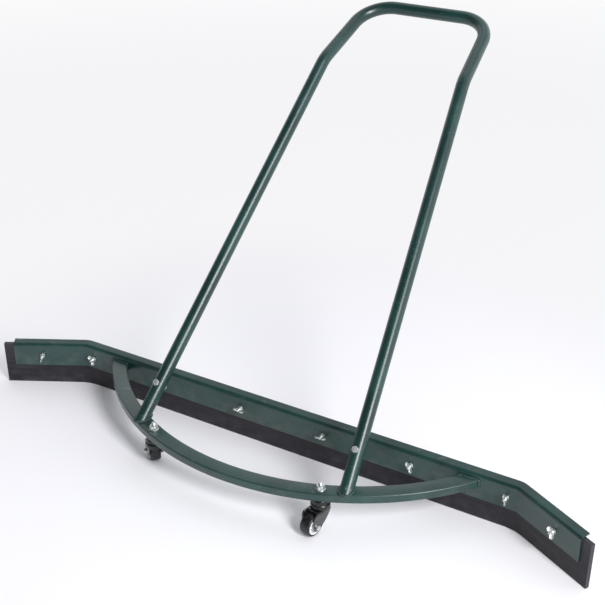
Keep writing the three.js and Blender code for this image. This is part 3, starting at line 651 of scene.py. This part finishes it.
bow_mesh = rolled.mesh([(0, 0, 0)], [], {}, Radius=bow_radius, Centre=bow_centre, End=bow_end,
                       Width=bow_width, Height=bow_top - bow_bottom, Corner=bow_corner,
                       Base=(bow_top + bow_bottom) / 2, Steps=bow_stations, Finish=green_paint)


def green_tube(name, mesh, node):
    """Settles a tube on the frame, from the closed mesh of a recipe, with the wear at its edges."""
    shape = bmesh.new()
    shape.from_mesh(mesh)
    bmesh.ops.remove_doubles(shape, verts=shape.verts, dist=1e-4)
    bmesh.ops.recalc_face_normals(shape, faces=shape.faces)
    close_mesh(shape, mesh)
    settle(from_mesh(name, mesh, 1 / METRE), "frame", "green_paint", node)


green_tube("bow_tube", bow_mesh, "bow_bar")

ripples = Recipe("weld_ripples", Pitch="Float", Size="Float")
path = ripples.add("GeometryNodeMeshToCurve", None, {"Mesh": ripples.given("Start")})
path = ripples.add("GeometryNodeResampleCurve", {"mode": "LENGTH"},
                   {"Curve": path, "Length": ripples.given("Pitch")})
drop = ripples.add("GeometryNodeMeshUVSphere", None, {"Segments": 10, "Rings": 6, "Radius": 1.0}, out="Mesh")
drop = ripples.add("GeometryNodeSetShadeSmooth", None, {"Geometry": drop})
along = ripples.add("GeometryNodeInputTangent")
lie = ripples.add("FunctionNodeAlignRotationToVector", {"axis": "Z"}, {"Vector": along})
size = ripples.add("FunctionNodeRandomValue", {"data_type": "FLOAT_VECTOR"},
                   {0: (0.9, 0.9, 0.75), 1: (1.1, 1.1, 0.95), "Seed": 7})
size = ripples.add("ShaderNodeVectorMath", {"operation": "SCALE"}, {0: size, "Scale": ripples.given("Size")})
ripples.close(ripples.add("GeometryNodeInstanceOnPoints", None,
                          {"Points": path, "Instance": drop, "Rotation": lie, "Scale": size}))


def weld(name, loop):
    """One weld bead along a closed loop of points."""
    links = [(spot, (spot + 1) % len(loop)) for spot in range(len(loop))]
    mesh = ripples.mesh(loop, links, {}, Pitch=weld_ripple, Size=weld_size, Finish=green_paint)
    settle(from_mesh(name, mesh, 1 / METRE), "frame", "green_paint")


def bow_at(outwards, height, end):
    """The corner of the bow at one of its ends, where it meets the holder."""
    reach = bow_radius + outwards
    angle = math.asin((bow_centre - bow_end) / reach)
    return Vector((end * reach * math.cos(angle), bow_end - weld_sink, height))


def bow_line(x, height):
    """The point on the middle line of the bow at x, at a height."""
    return Vector((x, bow_centre - math.sqrt(bow_radius ** 2 - x ** 2), height))


for name, end in hands:
    corners = [(-bow_half, bow_bottom), (bow_half, bow_bottom), (bow_half, bow_top), (-bow_half, bow_top)]
    weld(f"bow_weld_{name}", [bow_at(outwards, height, end) for outwards, height in corners])


# Handle stubs: two short pieces of the handle's tube, cut slantwise to stand on the bow and welded to it
# all round. An inner tube in each one carries the handle.
tube = 30.0
tube_wall = 1.0
foot_spread = 516.0
knee_spread = 356.0
knee_rise = 658.0
knee_reach = 671.5
grip_spread = 318.0
grip_rise = 89.0
grip_reach = 195.0
stub_length = 48.0
stub_sides = 48
stub_chamfer = 0.4
stub_outer = tube / 2
stub_inner = stub_outer - tube_wall
weld_out = 0.9
weld_up = 1.3
legs = {}
for name, side in hands:
    foot = bow_line(side * foot_spread / 2, bow_top)
    knee = Vector((side * knee_spread / 2, foot.y + knee_reach, foot.z + knee_rise))
    grip = Vector((side * grip_spread / 2, knee.y + grip_reach, knee.z + grip_rise))
    heading = (knee - foot).normalized()
    front = ahead.cross(heading).normalized()
    legs[name] = {"foot": foot, "knee": knee, "grip": grip, "heading": heading, "front": front,
                  "over": heading.cross(front)}


def leg_ring(leg, reach, along=None, height=None):
    """Points round a leg, square to it at a distance along, or level at a height."""
    ring = []
    for side in range(stub_sides):
        angle = 2 * math.pi * side / stub_sides
        offset = leg["front"] * reach * math.cos(angle) + leg["over"] * reach * math.sin(angle)
        far = along if height is None else (height - leg["foot"].z - offset.z) / leg["heading"].z
        ring.append(leg["foot"] + leg["heading"] * far + offset)
    return ring


for name, leg in legs.items():
    rings = [leg_ring(leg, reach, height=bow_top + gap) for reach in (stub_inner, stub_outer)]
    rings += [leg_ring(leg, reach, along=along) for reach, along in (
        (stub_outer, stub_length - edge_margin), (stub_outer, stub_length - stub_chamfer),
        (stub_outer - stub_chamfer, stub_length), (stub_inner, stub_length))]
    stub = Blank().skin(rings, ring=True)
    settle(stub.piece(f"stub_tube_{name}", green_paint), "frame", "green_paint", f"handle_stub_{name}")
    weld(f"stub_weld_{name}", leg_ring(leg, stub_outer + weld_out, height=bow_top + gap + weld_up))


# Spigots: bare steel tubes inside the stubs and the handle's ends. They keep the shape of the model and
# hardly show; the same plain steel is on the casters' balls and bushes.
def bare_finish():
    """Drawn steel: fine marks along its length and a few brown stains."""
    finish = Finish("drawn_steel")
    draw = finish.cloud(0.0009, stretch=(1, 1, 14))
    stain = finish.cloud(0.01).rise(0.5, 0.75)
    body = finish.layered(colour(168, 170, 171), (stain * 0.6, colour(116, 110, 104)))
    return finish.surface(
        body, {"Metallic": 0.9 - stain * 0.2, "Roughness": 0.3 + stain * 0.25},
        relief=draw, depth=0.00005)


bare_steel = bare_finish()
give_finish(bare_steel, "handle_spigot_left", "handle_spigot_right")


# Handle: one round steel tube, bent twice in each leg, that is a knee and the corner of the grip. It slides
# on the spigots down to the stubs and has the same paint, chipped at its two ends.
knee_bend = 90.0
grip_bend = 80.0
bend_count = 20
tube_sides = 40

bent_tube = Recipe("bent_tube", Radius="Float", Sides="Int", Bends="Int")
line = bent_tube.add("GeometryNodeMeshToCurve", None, {"Mesh": bent_tube.given("Start")})
radii = bent_tube.add("GeometryNodeInputNamedAttribute", {"data_type": "FLOAT"}, {"Name": "bend"})
line = bent_tube.add("GeometryNodeFilletCurve", {"mode": "POLY"},
                     {"Curve": line, "Count": bent_tube.given("Bends"), "Radius": radii})
hoop = bent_tube.add("GeometryNodeCurvePrimitiveCircle", None,
                     {"Resolution": bent_tube.given("Sides"), "Radius": bent_tube.given("Radius")})
bent_tube.close(bent_tube.add("GeometryNodeCurveToMesh", None,
                              {"Curve": line, "Profile Curve": hoop, "Fill Caps": True}))
left, right = legs.values()
ends = [[leg["foot"] + leg["heading"] * (stub_length + gap + way) for way in (0, edge_margin)]
        for leg in (left, right)]
corners = [*ends[0], left["knee"], left["grip"], right["grip"], right["knee"], *reversed(ends[1])]
bends = [0.0, 0.0, knee_bend, grip_bend, grip_bend, knee_bend, 0.0, 0.0]
handle_mesh = bent_tube.mesh(corners, [(spot, spot + 1) for spot in range(len(corners) - 1)], {"bend": bends},
                             Radius=tube / 2, Sides=tube_sides, Bends=bend_count, Finish=green_paint)
green_tube("handle_bend", handle_mesh, "handle_tube")


# Cross bolts: one zinc-plated M8 hexagon bolt through each leg holds the handle on its spigot, with its
# head in front and a nut behind. Their plating is a little more matt than that of the smaller fasteners.
cross_place = 83.0
cross_seat = tube / 2 + gap
m8 = 8.0
m8_pitch = 1.25
m8_head = (13.0, 5.3)
m8_nut = 6.5
cross_spare = 3.0
zinc_matt = zinc_finish("zinc_matt", colour(232, 236, 235), colour(212, 217, 216), 0.46)
for name, leg in legs.items():
    middle = leg["foot"] + leg["heading"] * cross_place
    facing = up.rotation_difference(leg["front"]).to_matrix().to_4x4()
    cross = hex_bolt(m8_head, m8, 2 * cross_seat + m8_nut + cross_spare, m8_pitch)
    cross.moved(Matrix.Translation(middle + leg["front"] * cross_seat) @ facing)
    settle(cross.piece(f"cross_bolt_{name}", zinc_matt), "frame", "zinc_plate", f"handle_bolt_{name}")
    back_nut = hexagon(m8_head[0], 0.0, m8_nut, bore=m8 + thread_room)
    back_nut.moved(Matrix.Translation(middle - leg["front"] * cross_seat) @ facing @ upside_down)
    settle(back_nut.piece(f"cross_nut_{name}", zinc_matt), "frame", "zinc_plate", f"handle_nut_{name}")


# Caster stems: an M10 stem comes up through the bow at each side and takes a washer and a hexagon nut on
# top. Stem, washer and nut are zinc-plated, and the stem is riveted into the fork below.
caster_spread = 420.0
fork_top = 57.0
fork_wall = 2.5
m10 = 10.0
m10_pitch = 1.5
m10_nut = (17.0, 8.0)
stem_washer = (21.0, 2.0)
washer_bore = 5.3
stem_spare = 7.0
rivet = (16.0, 2.4)
rivet_round = (1.5, 1.2)
rod_overlap = 1.0
washer_low = bow_top + gap
washer_high = washer_low + stem_washer[1]
nut_low = washer_high + gap
nut_high = nut_low + m10_nut[1]
rivet_top = fork_top - fork_wall - gap
rivet_low = rivet_top - rivet[1]
rivet_rim = rivet[0] / 2
pivots = {name: Matrix.Translation(bow_line(side * caster_spread / 2, 0)) for name, side in hands}
for name, pivot in pivots.items():
    rod = Blank().turned([
        (0, rivet_low), (rivet_rim - rivet_round[0], rivet_low), (rivet_rim, rivet_top - rivet_round[1]),
        (rivet_rim, rivet_top), (m10 / 2, rivet_top), (m10 / 2, bow_top), (0, bow_top)], round_sides)
    rod.take(threaded(m10, bow_top - rod_overlap, nut_high + stem_spare, m10_pitch)).moved(pivot)
    settle(rod.piece(f"stem_{name}", zinc_plate), "frame", "zinc_plate", f"caster_stem_{name}")
    top_nut = hexagon(m10_nut[0], nut_low, nut_high, bore=m10 + thread_room).moved(pivot)
    settle(top_nut.piece(f"stem_nut_{name}", zinc_plate), "frame", "zinc_plate", f"caster_nut_{name}")
    washer = disc(washer_bore, stem_washer[0] / 2, washer_low, washer_high, under=0.3, over=0.4, sides=40)
    settle(washer.moved(pivot).piece(f"stem_washer_{name}", zinc_plate), "frame", "zinc_plate",
           f"caster_washer_{name}")


# Swivel heads: a pressed cup under the bow and a race on the fork, with balls between them, in black
# enamel with a painted green reflection of the bow above. The race and the balls keep the shape of the model.
cup_bore = 6.0
cup_radius = 21.0
cup_neck = 18.4
cup_top = 77.7
cup_low = 58.2
cup_skirt = 63.1
cup_wall = 1.6
cup_chamfer = 0.4
cup_round = 4.0
cup_sides = 48


def black_finish(name, deep, pale, shine):
    """Black stove enamel on pressings: fairly glossy, with dust in patches and grey edges."""
    finish = Finish(name)
    patches = finish.cloud(0.012)
    peel = finish.cloud(0.0014, detail=1.0)
    dust = finish.cloud(0.006).rise(0.5, 0.75)
    chips = (finish.edge_wear() * 0.45 + finish.cloud(0.005) * 0.6).rise(0.8, 0.86)
    body = finish.layered(
        deep, (patches.rise(0.3, 0.7), pale), (dust * 0.14, colour(110, 110, 108)),
        (chips * 0.7, colour(120, 121, 122)))
    return finish.surface(
        body, {"Metallic": chips * 0.7, "Roughness": 0.24 + patches * 0.15 + dust * 0.25,
               "Coat Weight": shine - dust * shine, "Coat Roughness": 0.16},
        relief=peel * 0.5 + patches * 0.3 - chips * 0.5, depth=0.00015)


# Painted reflection: the teal tint in this black stands in for the green bow reflected in the cup and race.
swivel_black_painted_bow_reflection = black_finish("swivel_enamel", colour(2, 9, 10), colour(5, 14, 15), 0.08)
for name, pivot in pivots.items():
    cup = Blank().turned([
        (cup_bore, cup_skirt), (cup_radius - cup_wall, cup_skirt), (cup_radius - cup_wall, cup_low),
        (cup_radius - cup_chamfer, cup_low), (cup_radius, cup_low + cup_chamfer), (cup_radius, cup_skirt + 1),
        *arc((cup_radius - cup_round, cup_skirt + 1), cup_round, 10, 60, steps=5), (cup_neck, cup_skirt + 6),
        (cup_neck, cup_top - 2), (cup_neck - 1.4, cup_top), (cup_bore, cup_top)], cup_sides, ring=True)
    settle(cup.moved(pivot).piece(f"swivel_cup_{name}", swivel_black_painted_bow_reflection), "frame", "black_steel",
           f"caster_cup_{name}")
    give_finish(swivel_black_painted_bow_reflection, f"caster_race_{name}")
    give_finish(bare_steel, f"caster_balls_{name}", f"caster_bush_{name}")


# Forks: one strip of 2.5 mm steel for each caster, folded into two cheeks that lean towards the trail, with
# a rounded brow over the wheel and a disc under the swivel. Black enamel.
trail = 27.5
wheel = 25.0
headings = {"left": math.radians(137), "right": math.radians(258)}
cheek_inner = 14.8
cheek_outer = cheek_inner + fork_wall
cheek_rows = 16
cheek_marks = (0, 0.04, 0.2, 0.4, 0.6, 0.8, 0.96, 1)
fork_rear = 13.0
fork_fold = 4.0
shoulder_drop = 4.0
brow_radius = 12.0
toe_radius = 10.0
swivel_disc = 38.0
disc_bore = 5.5


def cheek_span(height):
    """Rear and front edge of a cheek at a height: upright in front, under the brow, and hollow behind."""
    toe = math.sqrt(max(toe_radius ** 2 - (height - wheel) ** 2, 0))
    if height > fork_top - brow_radius:
        lift = height - (fork_top - brow_radius)
        front_edge = trail + toe_radius - brow_radius + math.sqrt(max(brow_radius ** 2 - lift ** 2, 0))
    else:
        front_edge = trail + (toe_radius if height > wheel else toe)
    toe_start = toe_radius * math.sqrt(0.5)
    low, high = wheel - toe_start, fork_top - shoulder_drop
    if height >= high:
        return -fork_rear, front_edge
    if height <= low:
        return trail - toe, front_edge
    waist = (fork_top + wheel) / 2 - toe_radius
    a, b, c = high - 2 * waist + low, 2 * (waist - high), high - height
    way = (-b - math.sqrt(b * b - 4 * a * c)) / (2 * a)
    rear_edge = ((1 - way) ** 2 * -fork_rear + 2 * way * (1 - way) * -fork_rear / 4
                 + way ** 2 * (trail - toe_start))
    return rear_edge, front_edge


def fork_walk():
    """Outer and inner points (across, height) along the folded strip, from one toe to the other."""
    low = wheel - toe_radius
    inner_fold = fork_fold - fork_wall
    drop = fork_top - fork_fold
    levels = [low + (drop - low) * (1 - math.cos(math.pi / 2 * row / cheek_rows))
              for row in range(cheek_rows + 1)]
    walk = [((-cheek_outer, level), (-cheek_inner, level)) for level in levels]
    outer_arc = arc((-cheek_outer + fork_fold, drop), fork_fold, 180, 90, steps=5)[1:]
    inner_arc = arc((-cheek_inner + inner_fold, drop), inner_fold, 180, 90, steps=5)[1:]
    walk += list(zip(outer_arc, inner_arc))
    mirrored = [((-outer[0], outer[1]), (-inner[0], inner[1])) for outer, inner in reversed(walk)]
    return walk + mirrored


fork_black = black_finish("fork_enamel", colour(13, 13, 16), colour(22, 22, 26), 0.9)
fork_places = {name: pivots[name] @ Matrix.Rotation(headings[name], 4, "Z") for name in pivots}
for name, place in fork_places.items():
    rows = []
    for outer, inner in fork_walk():
        rear, front = cheek_span(outer[1])
        marks = [rear + (front - rear) * mark for mark in cheek_marks]
        rows.append([(mark, *outer) for mark in marks] + [(mark, *inner) for mark in reversed(marks)])
    fork = Blank().skin(rows).take(disc(disc_bore, swivel_disc / 2, fork_top - fork_wall, fork_top,
                                        under=0.6, over=0.6, sides=48))
    settle(fork.moved(place).piece(f"fork_{name}", fork_black, soften=0.5, sharp=50),
           f"caster_swivel_{name}", "black_steel", f"caster_fork_{name}")


# Wheels: a white moulded nylon hub with ribs, and a dark crowned tyre moulded on it. They turn on a plain
# steel bush and a zinc-plated M6 axle bolt with its nut.
tyre_half = 12.5
tyre_inner = 19.3
tyre_crown = ((4.2, 0), (2.4, 0.7), (1.2, 2.4), (0.45, 5), (0.1, 8.5), (0, 11))
tyre_sides = 72
hub_half = 14.0
hub_radius = 19.0
hub_rim = 15.5
hub_boss = 8.5
hub_bore = 4.65
hub_web = 3.5
hub_round = 0.5
hub_draft = 0.4
hub_sides = 60
rib_count = 6
rib_half = 0.9
rib_deep = tyre_half - 2.5
m6_nut = 5.0
axle_seat = cheek_outer + gap
axle_spare = 1.5


def tyre_finish():
    finish = Finish("tread_rubber")
    patches = finish.cloud(0.009)
    grain = finish.cloud(0.0008, detail=2.0)
    dust = finish.cloud(0.004).rise(0.45, 0.7)
    body = finish.layered(colour(12, 11, 14), (patches.rise(0.3, 0.7), colour(20, 19, 23)),
                          (dust * 0.14, colour(112, 110, 110)))
    return finish.surface(body, {"Roughness": 0.3 + patches * 0.2 + dust * 0.2},
                          relief=grain * 0.6 + patches * 0.4, depth=0.00012)


def nylon_finish():
    finish = Finish("white_nylon")
    patches = finish.cloud(0.006)
    flow = finish.cloud(0.0012, detail=2.0)
    grime = finish.cloud(0.003).rise(0.52, 0.74)
    body = finish.layered(colour(219, 220, 224), (patches.rise(0.3, 0.7), colour(230, 231, 235)),
                          (grime * 0.35, colour(168, 162, 152)))
    return finish.surface(body, {"Roughness": 0.36 + patches * 0.14 + grime * 0.2},
                          relief=flow * 0.4 - grime * 0.3, depth=0.0001)


def both_sides(profile):
    """A (radius, height) profile followed by its mirror image below."""
    return [*profile, *[(radius, -height) for radius, height in reversed(profile)]]


tread = tyre_finish()
nylon = nylon_finish()
for name, place in fork_places.items():
    laid = place @ Matrix.Translation((trail, 0, wheel)) @ Matrix.Rotation(-math.pi / 2, 4, "X")
    tyre = Blank().turned(both_sides([
        (tyre_inner, tyre_half - hub_draft), (tyre_inner + hub_round, tyre_half),
        *[(wheel - inward, tyre_half - aside) for inward, aside in tyre_crown]]), tyre_sides, ring=True)
    settle(tyre.moved(laid).piece(f"tyre_{name}", tread), f"caster_wheel_{name}", "black_tread",
           f"caster_tyre_{name}")

    hub = Blank().turned(both_sides([
        (hub_bore, hub_half), (hub_boss - hub_round, hub_half), (hub_boss, hub_half - hub_round),
        (hub_boss + hub_draft, hub_web), (hub_rim - hub_round, hub_web), (hub_rim, tyre_half - hub_round),
        (hub_rim + hub_round, tyre_half), (hub_radius - hub_draft, tyre_half),
        (hub_radius, tyre_half - hub_draft)]), hub_sides, ring=True)
    rib = Blank().skin([
        [(reach, -rib_half, -rib_deep), (reach, rib_half, -rib_deep), (reach, rib_half, rib_deep),
         (reach, -rib_half, rib_deep)] for reach in (hub_boss - hub_round, hub_rim + hub_round)])
    for spoke in range(rib_count):
        hub.take(rib, Matrix.Rotation(2 * math.pi * spoke / rib_count, 4, "Z"))
    settle(hub.moved(laid).piece(f"hub_{name}", nylon, soften=0.2, sharp=60, steps=1),
           f"caster_wheel_{name}", "white_nylon", f"caster_hub_{name}")

    axle = hex_bolt(m6_head, m6, 2 * axle_seat + m6_nut + axle_spare, m6_pitch)
    axle.moved(laid @ Matrix.Translation((0, 0, axle_seat)))
    settle(axle.piece(f"axle_{name}", zinc_plate), f"caster_swivel_{name}", "zinc_plate",
           f"caster_axle_{name}")
    lock = hexagon(m6_head[0], axle_seat, axle_seat + m6_nut, bore=m6 + thread_room)
    lock.moved(laid @ upside_down)
    settle(lock.piece(f"axle_nut_{name}", zinc_plate), f"caster_swivel_{name}", "zinc_plate",
           f"caster_axle_nut_{name}")


# Studio: a wide floor of pale paper in a white room. To the camera both are nearly white, and the paper
# keeps the soft shadow. In the paint's gloss the room is bright behind and on the right, dark in front and
# on the left, and has a darker band overhead.
floor_half = 9.0
shadow_edge = (0.45, 1.3)
horizon = (2.5, 6.0)
floor_corners = [(x * floor_half, y * floor_half, 0) for x, y in ((-1, -1), (1, -1), (1, 1), (-1, 1))]
floor_mesh = bpy.data.meshes.new("studio_floor")
floor_mesh.from_pydata(floor_corners, [], [(0, 1, 2, 3)])
floor = put("studio_floor", floor_mesh)
paper = Finish("studio_paper")
white = paper.layered(colour(243, 242, 248), (paper.cloud(0.6).rise(0.3, 0.7), colour(245, 245, 249)))
matt = paper.add("ShaderNodeBsdfDiffuse", None, {"Color": white})
away = paper.add("ShaderNodeVectorMath", {"operation": "LENGTH"}, {0: paper.place}, out="Value")
far = away.rise(*horizon)
pale = paper.layered((0.92, 0.92, 0.94, 1), (far, (1, 1, 1, 1)))
glow = paper.add("ShaderNodeEmission", None, {"Color": pale, "Strength": 1.0})
glowing = (paper.ray("Camera") + paper.ray("Glossy")) * (0.05 + 0.87 * away.rise(*shadow_edge) + 0.08 * far)
lifted = paper.add("ShaderNodeMixShader", None, {0: glowing, 1: matt, 2: glow})
paper.add("ShaderNodeOutputMaterial", None, {"Surface": lifted})
floor_mesh.materials.append(paper.material)

room = bpy.data.worlds.new("room")
room.use_nodes = True
room_tree = Tree(room.node_tree)
room.node_tree.nodes.clear()
sky = room_tree.add("ShaderNodeTexCoord", out="Generated")
east, north, height = (room_tree.axis(sky, name) for name in "XYZ")
wall = north.rise(-0.05, 0.2)
window = (0.2 + 0.8 * east.rise(-0.2, 0.6)) * (1 - height.rise(0.1, 0.5))
mirror_ray = room_tree.ray("Glossy")
soffit = mirror_ray * height.rise(0.62, 0.68) * (1 - height.rise(0.76, 0.8))
lit = 0.78 * (1 - (1 - wall) * (1 - window)) + 0.34 * mirror_ray * wall
bright = 0.2 - 0.14 * mirror_ray + lit * (1 - 0.85 * soffit)
room_light = room_tree.add("ShaderNodeBackground", None, {"Color": (0.97, 0.98, 1.0, 1), "Strength": bright})
room_seen = room_tree.add("ShaderNodeBackground", None, {"Color": (1, 1, 1, 1), "Strength": 1.0})
room_mix = room_tree.add("ShaderNodeMixShader", None,
                         {0: room_tree.ray("Camera"), 1: room_light, 2: room_seen})
room_tree.add("ShaderNodeOutputWorld", None, {"Surface": room_mix})
bpy.context.scene.world = room


# Lamp: one tall soft lamp six metres off, in front on the right. It throws the soft shadows to the left and
# back and draws the thin bright line down the tubes.
lamp_from = Vector((0.73, -0.38, 0.566))
lamp_distance = 6.0
lamp = bpy.data.lights.new("window_lamp", "AREA")
lamp.shape = "RECTANGLE"
lamp.size = 1.3
lamp.size_y = 3.2
lamp.energy = 368
key_lamp = put("window_lamp", lamp)
key_lamp.location = lamp_from * lamp_distance
key_lamp.rotation_euler = (-lamp_from).to_track_quat("-Z", "Y").to_euler()


# Camera: above and to the right of the squeegee's front, at the photograph's distance and angle. Its lens
# follows from the photograph's focal length in pixels.
camera_aim = Vector((-0.4440, 0.7590, -0.4763))
focal_pixels = 1131.7
picture_pixels = 605.0
lens = bpy.data.cameras.new("view")
lens.sensor_fit = "HORIZONTAL"
lens.sensor_width = 36.0
lens.lens = focal_pixels / picture_pixels * lens.sensor_width
camera = put("view", lens)
camera.location = (1.1075, -1.8048, 1.5254)
camera.rotation_euler = camera_aim.to_track_quat("-Z", "Y").to_euler()
bpy.context.scene.camera = camera
bpy.context.scene.view_settings.view_transform = "Standard"


bpy.context.view_layer.update()
